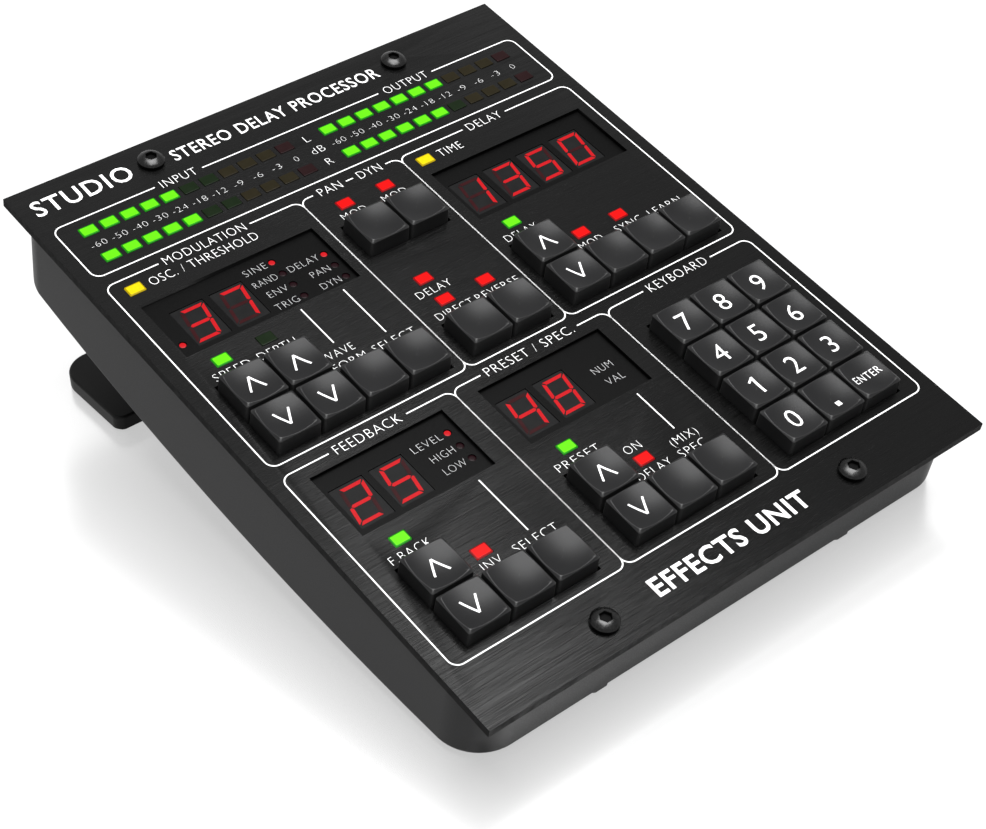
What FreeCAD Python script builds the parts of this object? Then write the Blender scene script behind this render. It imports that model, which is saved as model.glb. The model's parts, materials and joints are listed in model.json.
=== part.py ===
import FreeCAD, Part
import math
import os

from FreeCAD import Placement, Rotation, Vector

# A desktop controller for a delay effect: a tilted metal panel full of keys, meters and
# displays on a shallow moulded tray, which rests on two front feet and a rear stand.
#
# Panel frame: u to the right, v up the slope towards the rear, w out of the panel's face,
# with its origin at the middle of that face. Everything above the table is drawn in it.
# Row frame: +X right, +Y to the rear, +Z up, with its origin on the table below the middle
# of the whole object. The stand and the feet are drawn in it. Sizes are in millimetres.

# Driving dimensions
PANEL_WIDTH = 135.0
PANEL_LENGTH = 167.0
PANEL_THICK = 2.0
TILT_DEG = 10.33
PANEL_HEIGHT = 33.1  # middle of the panel's face above the table

TRAY_HALF_WIDTH = 66.9
TRAY_FRONT = -80.2
TRAY_REAR = 80.7
TRAY_CORNER = 10.0
TRAY_WALL = 2.4
TRAY_DEPTH = 24.25  # from the panel's face to the lowest line of the arched floor
ARCH_RADIUS = 545.0
ARCH_MIDDLE = 2.0
TRAY_EDGE = 1.2

BOARD_TOP = -9.0
BOARD_THICK = 1.6
BOARD_HALF_WIDTH = 62.5
BOARD_HALF_LENGTH = 72.5
BOARD_CORNER = 6.0
BOARD_TAB_HALF = 9.0
BOARD_TAB_REAR = 77.4

KEY_PITCH = 11.1
KEY_HALF = 5.22  # at the panel's face
KEY_SHOULDER_HALF = 5.15
KEY_SHOULDER = 3.35  # height where the steep sides meet the sloping shoulders
KEY_TOP_HALF = 4.3
KEY_TOP = 3.95  # height the shoulders would reach without the dish
KEY_SKIRT = 2.6  # how far the cap goes below the panel's face
KEY_CORNER = 0.5
KEY_WALL = 1.2
KEY_ROOF = 0.8  # underside of the roof above the panel's face
KEY_TRAVEL = 0.8
KEY_GAP = 0.38  # between a cap and the panel's opening
DISH_RADIUS = 22.0
DISH_LOWEST = 2.95  # height of the dish's middle
STEM_RADIUS = 1.6
STEM_LENGTH = 7.8
STEM_CLEARANCE = 0.08

SWITCH_SIDE = 6.0
SWITCH_HEIGHT = 4.0
SWITCH_BORE_DEPTH = 3.2

LED_WIDTH = 3.9
LED_HEIGHT = 2.8
LED_PROUD = 0.15
LED_BASE_EXTRA = 0.3
LED_BASE_TOP = -3.0
LED_HOLE_GAP = 0.08

METER_PITCH = 5.14
METER_STARTS = (-57.4, 6.2)
METER_ROWS = (65.4, 56.5)
METER_COLOURS = ("green",) * 7 + ("amber",) * 3 + ("red",)

WINDOW_DEPTH = 0.9
MASK_FLANGE = 1.2
MASK_THICK = 1.1  # flange below the panel
DIGIT_WIDTH = 8.2
DIGIT_LENGTH = 11.2
DIGIT_PITCH = 9.87
DIGIT_DEPTH = 1.05  # face of a digit below the panel's face
DOT_RADIUS = 0.9

PANEL_SCREWS = [(-34.0, -77.0), (34.0, -77.0), (-34.0, 77.0), (34.0, 77.0)]
PANEL_SCREW_RADIUS = 1.5
PANEL_SCREW_HOLE = 1.7
PANEL_SCREW_LENGTH = 10.0
PANEL_HEAD_RADIUS = 2.9
PANEL_HEAD_HEIGHT = 1.8
PANEL_HEAD_RIM = 0.35
HEX_ACROSS = 2.5
HEX_DEPTH = 1.2
BOSS_RADIUS = 3.5

BOARD_SCREWS = [(-58.0, 50.6), (0.0, 50.6), (58.0, 50.6), (-55.0, -69.5), (0.0, -12.7), (55.0, -69.5)]
BOARD_SCREW_RADIUS = 1.25
BOARD_SCREW_LENGTH = 7.0
BOARD_HEAD_RADIUS = 2.2
BOARD_HEAD_HEIGHT = 1.6
STANDOFF_RADIUS = 2.8

USB_WIDTH = 7.6
USB_THICK = 2.9
USB_LENGTH = 6.6
USB_WALL = 0.35
USB_MIDDLE = -12.05  # w of its axis
LOCK_SLOT = (-46.0, 7.0, 3.0)  # middle u, width and height in the rear wall

STAND_HALF_WIDTH = 64.0
STAND_FRONT = 50.5
STAND_REAR = 76.2
STAND_FRONT_CORNER = 2.5
STAND_REAR_CORNER = 7.0
STAND_PAD = 0.8
STAND_SLAB = 3.4
RISER_HALF_WIDTH = 45.0
RISER_FRONT = 54.0
RISER_REAR = 73.5
RISER_WALL = 3.0
STAND_SCREWS = [(-38.0, 59.0), (38.0, 59.0), (-38.0, 68.5), (38.0, 68.5)]
STAND_SCREW_RADIUS = 1.5
STAND_SCREW_LENGTH = 10.0
STAND_HEAD_RADIUS = 2.9
STAND_HEAD_HEIGHT = 2.0
POST_RADIUS = 4.2
SEAT_HEIGHT = 4.6  # screw seat above the tray's underside, measured along its axis

FOOT_RADIUS = 4.5
FOOT_X = 48.0
FOOT_Y = -61.0
FOOT_HEIGHT = 4.0

# Key clusters: the middle of the lower left key, then each key's column and row.
CLUSTERS = {
    "modulation": ((-55.35, -3.75), {
        "key_mod_speed_down": (0, 0),
        "key_mod_depth_down": (1, 0),
        "key_mod_waveform": (2, 0),
        "key_mod_select": (3, 0),
        "key_mod_speed_up": (0, 1),
        "key_mod_depth_up": (1, 1),
    }),
    "modulation_route": ((-5.55, 31.8), {
        "key_pan_mod": (0, 0),
        "key_dyn_mod": (1, 0),
    }),
    "delay_route": ((-5.55, -3.75), {
        "key_direct": (0, 0),
        "key_reverse": (1, 0),
    }),
    "delay": ((22.3, -3.75), {
        "key_delay_down": (0, 0),
        "key_delay_mod": (1, 0),
        "key_delay_sync": (2, 0),
        "key_delay_learn": (3, 0),
        "key_delay_up": (0, 1),
    }),
    "feedback": ((-53.75, -61.35), {
        "key_feedback_down": (0, 0),
        "key_feedback_invert": (1, 0),
        "key_feedback_select": (2, 0),
        "key_feedback_up": (0, 1),
    }),
    "preset": ((-11.1, -61.35), {
        "key_preset_down": (0, 0),
        "key_delay_on": (1, 0),
        "key_spec": (2, 0),
        "key_preset_up": (0, 1),
    }),
    "keypad": ((31.6, -61.35), {
        "key_0": (0, 0),
        "key_point": (1, 0),
        "key_enter": (2, 0),
        "key_1": (0, 1),
        "key_2": (1, 1),
        "key_3": (2, 1),
        "key_4": (0, 2),
        "key_5": (1, 2),
        "key_6": (2, 2),
        "key_7": (0, 3),
        "key_8": (1, 3),
        "key_9": (2, 3),
    }),
}

# Status lamps beside the sections and keys, by colour: middle u and v.
STATUS_LEDS = {
    "yellow": [(-58.8, 45.2), (18.8, 45.2)],
    "green": [(-55.3, 18.5), (-44.2, 18.5), (22.3, 18.5), (-53.7, -39.2), (-11.0, -39.2)],
    "red": [
        (-5.5, 43.1), (5.7, 43.1), (-5.5, 14.9), (-5.5, 7.5), (5.6, 7.5),
        (33.4, 7.5), (44.5, 7.5), (-42.6, -50.4), (0.1, -50.4),
    ],
}

# Display windows: (left, right, front, rear), first digit's middle, digit count, dot lamps.
WINDOWS = {
    "modulation": (
        (-60.9, -16.5, 22.9, 40.6), (-52.35, 30.5), 2,
        [(-29.5, 37.2), (-29.5, 33.2), (-29.5, 29.3), (-29.5, 25.3),
         (-18.5, 33.3), (-18.5, 29.3), (-18.5, 25.3), (-59.1, 27.0)],
    ),
    "delay": ((16.75, 61.15, 22.9, 40.6), (22.4, 30.5), 4, []),
    "feedback": (
        (-59.3, -26.0, -34.7, -17.3), (-53.8, -27.15), 2,
        [(-28.4, -22.3), (-28.4, -26.4), (-28.4, -30.3)],
    ),
    "preset": ((-16.65, 16.65, -34.7, -17.3), (-11.2, -27.15), 2, []),
}

TILT = math.radians(TILT_DEG)
# The shift in Y puts the middle of the whole length over the origin.
TO_ROW = Placement(
    Vector(0, -PANEL_THICK * math.sin(TILT) / 2, PANEL_HEIGHT),
    Rotation(Vector(1, 0, 0), TILT_DEG),
)
OUT = Vector(0, 0, 1)
BOARD_UNDER = BOARD_TOP - BOARD_THICK


def block(u0, u1, v0, v1, w0, w1):
    """A box between two corners."""
    return Part.makeBox(u1 - u0, v1 - v0, w1 - w0, Vector(u0, v0, w0))


def centred_block(middle, width, length, w0, w1):
    """A box of one width and length about the point (u, v)."""
    u, v = middle
    return block(u - width / 2, u + width / 2, v - length / 2, v + length / 2, w0, w1)


def rod(middle, radius, w0, w1):
    """A round post along w or Z about the point (u, v) or (X, Y)."""
    return Part.makeCylinder(radius, w1 - w0, Vector(middle[0], middle[1], w0), OUT)


def upright_edges(shape, keep):
    """The shape's edges along w or Z whose middle passes the test keep(x, y)."""
    found = []
    for edge in shape.Edges:
        low, high = edge.BoundBox.ZMin, edge.BoundBox.ZMax
        middle = edge.BoundBox.Center
        flat = edge.BoundBox.XLength < 1e-6 and edge.BoundBox.YLength < 1e-6
        if flat and high - low > 1e-3 and keep(middle.x, middle.y):
            found.append(edge)
    return found


def rounded_block(u0, u1, v0, v1, w0, w1, radius):
    """A box with its four upright edges rounded."""
    box = block(u0, u1, v0, v1, w0, w1)
    return box.makeFillet(radius, upright_edges(box, lambda x, y: True))


def joined(shapes):
    """One shape made of all the given ones."""
    first, rest = shapes[0], shapes[1:]
    if not rest:
        return first
    return first.multiFuse(rest).removeSplitter()


def key_places():
    """Each key's node name and the middle of its cap."""
    places = {}
    for (u0, v0), keys in CLUSTERS.values():
        for name, (column, row) in keys.items():
            places[name] = (u0 + column * KEY_PITCH, v0 + row * KEY_PITCH)
    return places


def meter_places():
    """The middles of the meter lamps of each colour."""
    places = {colour: [] for colour in METER_COLOURS}
    for start in METER_STARTS:
        for row in METER_ROWS:
            for step, colour in enumerate(METER_COLOURS):
                places[colour].append((start + step * METER_PITCH, row))
    return places


def digit_places(window):
    """The middles of a window's digit modules."""
    (u, v), count = WINDOWS[window][1], WINDOWS[window][2]
    return [(u + step * DIGIT_PITCH, v) for step in range(count)]


def key_openings():
    """The openings that the key clusters stand in."""
    side = 2 * (KEY_HALF + KEY_GAP)
    return [centred_block(place, side, side, -PANEL_THICK, 0) for place in key_places().values()]


def lamp_holes():
    """A rectangular hole for every lamp in the panel."""
    places = [place for group in meter_places().values() for place in group]
    places += [place for group in STATUS_LEDS.values() for place in group]
    width, length = LED_WIDTH + 2 * LED_HOLE_GAP, LED_HEIGHT + 2 * LED_HOLE_GAP
    return [centred_block(place, width, length, -PANEL_THICK, 0) for place in places]


def front_panel():
    """The metal plate with all its openings."""
    half_width, half_length = PANEL_WIDTH / 2, PANEL_LENGTH / 2
    plate = block(-half_width, half_width, -half_length, half_length, -PANEL_THICK, 0)
    cuts = key_openings() + lamp_holes()
    for (u0, u1, v0, v1), *_ in WINDOWS.values():
        cuts.append(block(u0, u1, v0, v1, -PANEL_THICK, 0))
    for place in PANEL_SCREWS:
        cuts.append(rod(place, PANEL_SCREW_HOLE, -PANEL_THICK, 0))
    return plate.cut(cuts).removeSplitter()


def tray_body(inset):
    """The solid inside the tray's outer surface, drawn in by the inset, up to the panel."""
    body = rounded_block(
        -TRAY_HALF_WIDTH + inset, TRAY_HALF_WIDTH - inset,
        TRAY_FRONT + inset, TRAY_REAR - inset,
        -TRAY_DEPTH - 5, -PANEL_THICK, TRAY_CORNER - inset,
    )
    arch = Part.makeCylinder(
        ARCH_RADIUS - inset, 2 * PANEL_WIDTH,
        Vector(-PANEL_WIDTH, ARCH_MIDDLE, ARCH_RADIUS - TRAY_DEPTH), Vector(1, 0, 0),
    )
    return body.common(arch)


def soft_lower_edge(body):
    """The body with the edge round its arched floor rounded."""
    floor = max(body.Faces, key=lambda face: face.Area if face.BoundBox.ZMax < -TRAY_DEPTH / 2 else 0)
    return body.makeFillet(TRAY_EDGE, floor.Edges)


def tray_seats(outer):
    """Flat seats for the stand's screws, on the tray's floor, in the row frame."""
    seats = []
    for place in STAND_SCREWS:
        post = rod(place, POST_RADIUS, 0, seat_height(place))
        seats.append(post.common(outer))
    return seats


def underside_height(place):
    """How high the tray's outer underside is above the table at a point (X, Y)."""
    x, y = place
    shift, height = TO_ROW.Base.y, TO_ROW.Base.z
    middle_y = shift + ARCH_MIDDLE * math.cos(TILT) - (ARCH_RADIUS - TRAY_DEPTH) * math.sin(TILT)
    middle_z = height + ARCH_MIDDLE * math.sin(TILT) + (ARCH_RADIUS - TRAY_DEPTH) * math.cos(TILT)
    return middle_z - math.sqrt(ARCH_RADIUS**2 - (y - middle_y) ** 2)


def seat_height(place):
    """The top of a screw seat above the table."""
    return underside_height(place) + SEAT_HEIGHT


def housing_tray():
    """The moulded tray, with bosses for the panel, the board and the stand."""
    outer = tray_body(0)
    shell = soft_lower_edge(outer).cut(tray_body(TRAY_WALL))
    bosses = [rod(place, BOSS_RADIUS, -TRAY_DEPTH, -PANEL_THICK).common(outer) for place in PANEL_SCREWS]
    for place in BOARD_SCREWS:
        bosses.append(rod(place, STANDOFF_RADIUS, -TRAY_DEPTH, BOARD_UNDER).common(outer))
    tray = joined([shell] + bosses)
    depth = PANEL_SCREW_LENGTH + 1
    cuts = [rod(place, PANEL_SCREW_RADIUS, -depth, -PANEL_THICK) for place in PANEL_SCREWS]
    for place in BOARD_SCREWS:
        cuts.append(rod(place, BOARD_SCREW_RADIUS, BOARD_TOP - BOARD_SCREW_LENGTH, BOARD_UNDER))
    cuts += [usb_opening(), lock_slot()]
    tray = tray.cut(cuts)
    tray.Placement = TO_ROW
    outer.Placement = TO_ROW
    tray = joined([tray] + tray_seats(outer))
    return tray.cut([rod(place, STAND_SCREW_RADIUS, 0, PANEL_HEIGHT) for place in STAND_SCREWS])


def usb_opening():
    """The hole in the rear wall that the USB connector's mouth sits in."""
    half, tall = USB_WIDTH / 2 + 0.25, USB_THICK / 2 + 0.25
    inside = TRAY_REAR - TRAY_WALL - 1
    return block(-half, half, inside, TRAY_REAR + 1, USB_MIDDLE - tall, USB_MIDDLE + tall)


def lock_slot():
    """The slot in the rear wall for a cable lock."""
    u, width, tall = LOCK_SLOT
    inside = TRAY_REAR - TRAY_WALL - 1
    low, high = USB_MIDDLE - tall / 2, USB_MIDDLE + tall / 2
    middle = block(u - (width - tall) / 2, u + (width - tall) / 2, inside, TRAY_REAR + 1, low, high)
    ends = []
    for side in (-1, 1):
        base = Vector(u + side * (width - tall) / 2, inside, USB_MIDDLE)
        ends.append(Part.makeCylinder(tall / 2, TRAY_WALL + 2, base, Vector(0, 1, 0)))
    return joined([middle] + ends)


def keycap():
    """A dished cap with a hollow underside and the stem that presses its switch."""
    skirt = rounded_block(-KEY_HALF, KEY_HALF, -KEY_HALF, KEY_HALF, -KEY_SKIRT, 0, KEY_CORNER)
    foot = square_wire(KEY_HALF, 0)
    shoulder = square_wire(KEY_SHOULDER_HALF, KEY_SHOULDER)
    crown = square_wire(KEY_TOP_HALF, KEY_TOP)
    sides = Part.makeLoft([foot, shoulder], True, True)
    shoulders = Part.makeLoft([shoulder, crown], True, True)
    cap = joined([skirt, sides, shoulders])
    dish = Part.makeSphere(DISH_RADIUS, Vector(0, 0, DISH_LOWEST + DISH_RADIUS))
    hollow = KEY_HALF - KEY_WALL
    inside = block(-hollow, hollow, -hollow, hollow, -KEY_SKIRT, KEY_ROOF)
    stem = rod((0, 0), STEM_RADIUS, KEY_ROOF - STEM_LENGTH, KEY_ROOF)
    return joined([cap.cut([dish, inside]), stem])


def square_wire(half, height):
    """A square outline with rounded corners at one height."""
    square = rounded_block(-half, half, -half, half, height, height + 1, KEY_CORNER)
    lowest = min(square.Faces, key=lambda face: face.CenterOfMass.z)
    return lowest.OuterWire


def key_switches():
    """One push switch on the board under every key, with a bore for the key's stem."""
    top = BOARD_TOP + SWITCH_HEIGHT
    bodies = []
    for place in key_places().values():
        body = centred_block(place, SWITCH_SIDE, SWITCH_SIDE, BOARD_TOP, top)
        bore = rod(place, STEM_RADIUS + STEM_CLEARANCE, top - SWITCH_BORE_DEPTH, top)
        bodies.append(body.cut(bore))
    return Part.makeCompound(bodies)


def main_board():
    """The circuit board, with a tab at the rear for the USB connector."""
    half, length = BOARD_HALF_WIDTH, BOARD_HALF_LENGTH
    board = rounded_block(-half, half, -length, length, BOARD_UNDER, BOARD_TOP, BOARD_CORNER)
    tab = block(-BOARD_TAB_HALF, BOARD_TAB_HALF, 0, BOARD_TAB_REAR, BOARD_UNDER, BOARD_TOP)
    holes = [rod(place, BOARD_SCREW_RADIUS + 0.1, BOARD_UNDER, BOARD_TOP) for place in BOARD_SCREWS]
    return joined([board, tab]).cut(holes)


def board_chips():
    """The controller, its memory and regulator on the underside of the board."""
    return Part.makeCompound([
        centred_block((0, 25), 12, 12, BOARD_UNDER - 1.4, BOARD_UNDER),
        centred_block((22, 30), 8, 5, BOARD_UNDER - 1.5, BOARD_UNDER),
        centred_block((-20, 60), 6.5, 6.5, BOARD_UNDER - 1.6, BOARD_UNDER),
        centred_block((0, 8), 5, 3.2, BOARD_UNDER - 1.0, BOARD_UNDER),
    ])


def lamps(places):
    """Rectangular lamps standing on the board and filling their holes in the panel."""
    bodies = []
    for place in places:
        width, length = LED_WIDTH + 2 * LED_BASE_EXTRA, LED_HEIGHT + 2 * LED_BASE_EXTRA
        base = centred_block(place, width, length, BOARD_TOP, LED_BASE_TOP)
        lens = centred_block(place, LED_WIDTH, LED_HEIGHT, LED_BASE_TOP, LED_PROUD)
        bodies.append(joined([base, lens]))
    return Part.makeCompound(bodies)


def display_masks():
    """The black moulded frame behind each window, pierced for its digits and dots."""
    masks = []
    for window, ((u0, u1, v0, v1), _, _, dots) in WINDOWS.items():
        front = block(u0, u1, v0, v1, -PANEL_THICK, -WINDOW_DEPTH)
        flange = block(
            u0 - MASK_FLANGE, u1 + MASK_FLANGE, v0 - MASK_FLANGE, v1 + MASK_FLANGE,
            -PANEL_THICK - MASK_THICK, -PANEL_THICK,
        )
        low, high = -PANEL_THICK - MASK_THICK, -WINDOW_DEPTH
        cuts = [centred_block(place, DIGIT_WIDTH, DIGIT_LENGTH, low, high) for place in digit_places(window)]
        cuts += [rod(place, DOT_RADIUS, low, high) for place in dots]
        masks.append(joined([front, flange]).cut(cuts))
    return Part.makeCompound(masks)


def display(window):
    """A window's digit modules and dot lamps, standing on the board."""
    digits = [
        centred_block(place, DIGIT_WIDTH, DIGIT_LENGTH, BOARD_TOP, -DIGIT_DEPTH)
        for place in digit_places(window)
    ]
    dots = [rod(place, DOT_RADIUS, BOARD_TOP, -DIGIT_DEPTH) for place in WINDOWS[window][3]]
    return Part.makeCompound(digits + dots)


def button_screw():
    """A button-head screw with a hexagon socket, its seat at w = 0."""
    crown = PANEL_HEAD_HEIGHT - PANEL_HEAD_RIM
    seat = PANEL_HEAD_RADIUS
    dome_radius = (seat**2 + crown**2) / (2 * crown)
    rim = rod((0, 0), seat, 0, PANEL_HEAD_RIM)
    dome = Part.makeSphere(dome_radius, Vector(0, 0, PANEL_HEAD_HEIGHT - dome_radius))
    dome = dome.common(rod((0, 0), seat, PANEL_HEAD_RIM, PANEL_HEAD_HEIGHT))
    shank = rod((0, 0), PANEL_SCREW_RADIUS, -PANEL_SCREW_LENGTH, 0)
    reach = HEX_ACROSS / math.sqrt(3)
    corners = [
        Vector(reach * math.cos(math.pi * k / 3), reach * math.sin(math.pi * k / 3), PANEL_HEAD_HEIGHT - HEX_DEPTH)
        for k in range(7)
    ]
    socket = Part.Face(Part.makePolygon(corners)).extrude(Vector(0, 0, 2 * HEX_DEPTH))
    return joined([rim, dome, shank]).cut(socket)


def pan_screw(head_radius, head_height, radius, length):
    """A pan-head screw with a cross recess, its seat at w = 0."""
    head = rod((0, 0), head_radius, 0, head_height)
    shank = rod((0, 0), radius, -length, 0)
    recess = [
        centred_block((0, 0), head_radius, 0.5, head_height / 2, head_height),
        centred_block((0, 0), 0.5, head_radius, head_height / 2, head_height),
    ]
    return joined([head, shank]).cut(recess)


def repeated(shape, places):
    """Copies of the shape, as separate solids, moved to each (x, y, z)."""
    copies = []
    for place in places:
        copy = shape.copy()
        copy.translate(Vector(*place))
        copies.append(copy)
    return Part.makeCompound(copies)


def usb_connector():
    """The metal shell of the USB socket with the tongue inside it."""
    half, tall = USB_WIDTH / 2, USB_THICK / 2
    rear = TRAY_REAR - 0.3
    front = rear - USB_LENGTH
    low, high = USB_MIDDLE - tall, USB_MIDDLE + tall
    shell = block(-half, half, front, rear, low, high)
    mouth = block(
        -half + USB_WALL, half - USB_WALL, front + 1.5, rear, low + USB_WALL, high - USB_WALL,
    )
    tongue = block(-half + 1.6, half - 1.6, front + 1.5, rear - 1, USB_MIDDLE - 0.3, USB_MIDDLE + 0.3)
    return Part.makeCompound([shell.cut(mouth), tongue])


def stand_outline(z0, z1, inset):
    """The stand's slab between two heights, drawn in by the inset."""
    half = STAND_HALF_WIDTH - inset
    slab = block(-half, half, STAND_FRONT + inset, STAND_REAR - inset, z0, z1)
    middle = (STAND_FRONT + STAND_REAR) / 2
    slab = slab.makeFillet(STAND_FRONT_CORNER - inset, upright_edges(slab, lambda x, y: y < middle))
    rear = upright_edges(slab, lambda x, y: abs(y - (STAND_REAR - inset)) < 0.01)
    return slab.makeFillet(STAND_REAR_CORNER - inset, rear)


def rear_stand():
    """The stand: a wide slab on the table and a hollow riser up to the tray."""
    slab = stand_outline(STAND_PAD, STAND_PAD + STAND_SLAB, 0)
    top = slab.BoundBox.ZMax
    upper = [edge for edge in slab.Edges if edge.BoundBox.ZMin > top - 0.01]
    slab = slab.makeFillet(0.6, upper)
    riser = rounded_block(
        -RISER_HALF_WIDTH, RISER_HALF_WIDTH, RISER_FRONT, RISER_REAR, top - 1, PANEL_HEIGHT, 3.0,
    )
    inside = block(
        -RISER_HALF_WIDTH + RISER_WALL, RISER_HALF_WIDTH - RISER_WALL,
        RISER_FRONT + RISER_WALL, RISER_REAR - RISER_WALL, top, PANEL_HEIGHT,
    )
    posts = [rod(place, POST_RADIUS, top - 1, PANEL_HEIGHT).common(riser) for place in STAND_SCREWS]
    tray = tray_body(0)
    tray.Placement = TO_ROW
    stand = joined([slab, riser.cut(inside)] + posts).cut(tray)
    holes = []
    for place in STAND_SCREWS:
        seat = seat_height(place)
        holes.append(rod(place, STAND_SCREW_RADIUS, seat - STAND_SCREW_LENGTH - 1, seat))
    return stand.cut(holes)


def front_feet():
    """Two rubber feet under the front of the tray."""
    tray = tray_body(0)
    tray.Placement = TO_ROW
    feet = []
    for side in (-1, 1):
        feet.append(rod((side * FOOT_X, FOOT_Y), FOOT_RADIUS, 0, FOOT_HEIGHT).cut(tray))
    return Part.makeCompound(feet)


def panel_nodes():
    """Every node that is drawn in the panel frame, apart from the keys."""
    nodes = {
        "front_panel": front_panel(),
        "display_masks": display_masks(),
        "main_board": main_board(),
        "board_chips": board_chips(),
        "key_switches": key_switches(),
        "usb_connector": usb_connector(),
        "panel_screws": repeated(button_screw(), [(u, v, 0) for u, v in PANEL_SCREWS]),
        "board_screws": repeated(
            pan_screw(BOARD_HEAD_RADIUS, BOARD_HEAD_HEIGHT, BOARD_SCREW_RADIUS, BOARD_SCREW_LENGTH),
            [(u, v, BOARD_TOP) for u, v in BOARD_SCREWS],
        ),
    }
    for colour, places in meter_places().items():
        nodes["meter_leds_" + colour] = lamps(places)
    for colour, places in STATUS_LEDS.items():
        nodes["status_leds_" + colour] = lamps(places)
    for window in WINDOWS:
        nodes["display_" + window] = display(window)
    return nodes


def key_nodes():
    """The keys, each at its own place in the panel frame."""
    cap = keycap()
    return {name: repeated(cap, [(u, v, 0)]) for name, (u, v) in key_places().items()}


def row_nodes():
    """The nodes that are drawn in the row frame."""
    screw = pan_screw(STAND_HEAD_RADIUS, STAND_HEAD_HEIGHT, STAND_SCREW_RADIUS, STAND_SCREW_LENGTH)
    return {
        "housing_tray": housing_tray(),
        "rear_stand": rear_stand(),
        "stand_pad": stand_outline(0, STAND_PAD, 0.8),
        "stand_screws": repeated(screw, [(x, y, seat_height((x, y))) for x, y in STAND_SCREWS]),
        "front_feet": front_feet(),
    }


def main():
    """Builds every node and writes it in the row frame."""
    os.makedirs("parts", exist_ok=True)
    for name, shape in {**panel_nodes(), **key_nodes()}.items():
        shape.Placement = TO_ROW
        shape.exportStep("parts/" + name + ".step")
    for name, shape in row_nodes().items():
        shape.exportStep("parts/" + name + ".step")


main()
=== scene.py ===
import json
import math

import bmesh
import bpy
from mathutils import Matrix, Vector

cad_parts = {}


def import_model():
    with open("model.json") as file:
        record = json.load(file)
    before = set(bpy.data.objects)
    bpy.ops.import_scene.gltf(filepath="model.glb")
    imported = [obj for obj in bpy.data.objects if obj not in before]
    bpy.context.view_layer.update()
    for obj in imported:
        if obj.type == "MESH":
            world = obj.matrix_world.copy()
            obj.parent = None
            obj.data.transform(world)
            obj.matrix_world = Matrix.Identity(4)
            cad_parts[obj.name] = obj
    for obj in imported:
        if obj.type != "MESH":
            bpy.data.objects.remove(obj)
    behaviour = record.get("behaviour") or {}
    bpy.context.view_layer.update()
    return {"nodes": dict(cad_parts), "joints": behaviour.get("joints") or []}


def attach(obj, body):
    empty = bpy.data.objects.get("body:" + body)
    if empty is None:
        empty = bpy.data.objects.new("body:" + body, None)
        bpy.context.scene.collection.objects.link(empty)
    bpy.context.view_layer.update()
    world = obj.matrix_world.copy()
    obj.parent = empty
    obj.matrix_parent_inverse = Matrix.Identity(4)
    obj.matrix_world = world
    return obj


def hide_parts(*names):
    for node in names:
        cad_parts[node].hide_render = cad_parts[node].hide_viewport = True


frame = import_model()

# Panel frame, in millimetres: u to the right, v up the slope, w out of the panel's face, with
# its origin at the middle of the face. The keys are pressed along -w, so a key's joint gives w.
MM = 0.001
OUT = -Vector(frame["joints"][0]["axis"]).normalized()
RIGHT = Vector((1, 0, 0))
REARWARD = OUT.cross(RIGHT)

# Printing
INK = 0.02  # thickness of printed ink
LINE = 0.3
CORNER = 2.2
CORNER_STEPS = 8
TITLE_CAP = 2.3
LABEL_CAP = 2.0
SMALL_CAP = 1.75
SCALE_CAP = 1.55
FIGURE_CAP = 4.75
LETTER_SPACING = 1.1
THIN = -0.085  # narrows the strokes of small print

# Sections of the panel: (left, right, front, rear) of the frame, and the gaps for its titles.
FRAMES = [
    ((-64.1, 64.1, 52.1, 69.5), [(-38.0, -25.5), (23.8, 39.7)]),
    ((-64.1, -13.9, -11.2, 48.9), [(-50.6, -27.1)]),
    ((-13.9, 13.8, -11.2, 48.9), [(-10.1, 10.1)]),
    ((13.8, 64.1, -11.2, 48.9), [(32.6, 45.4)]),
    ((-64.1, -21.2, -69.2, -14.2), [(-52.3, -32.8)]),
    ((-21.2, 21.3, -69.2, -14.2), [(-13.3, 13.4)]),
    ((21.3, 64.1, -69.2, -14.2), [(32.6, 52.8)]),
]

# Straight printed lines: (u, v) of both ends.
LINES = [
    ((-1.0, 48.9), (1.0, 48.9)),
    ((-33.2, 9.9), (-33.2, 21.5)),
    ((-22.1, 6.5), (-22.1, 21.5)),
    ((-31.6, -51.5), (-31.6, -36.2)),
    ((11.0, -47.8), (11.0, -36.2)),
]

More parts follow.
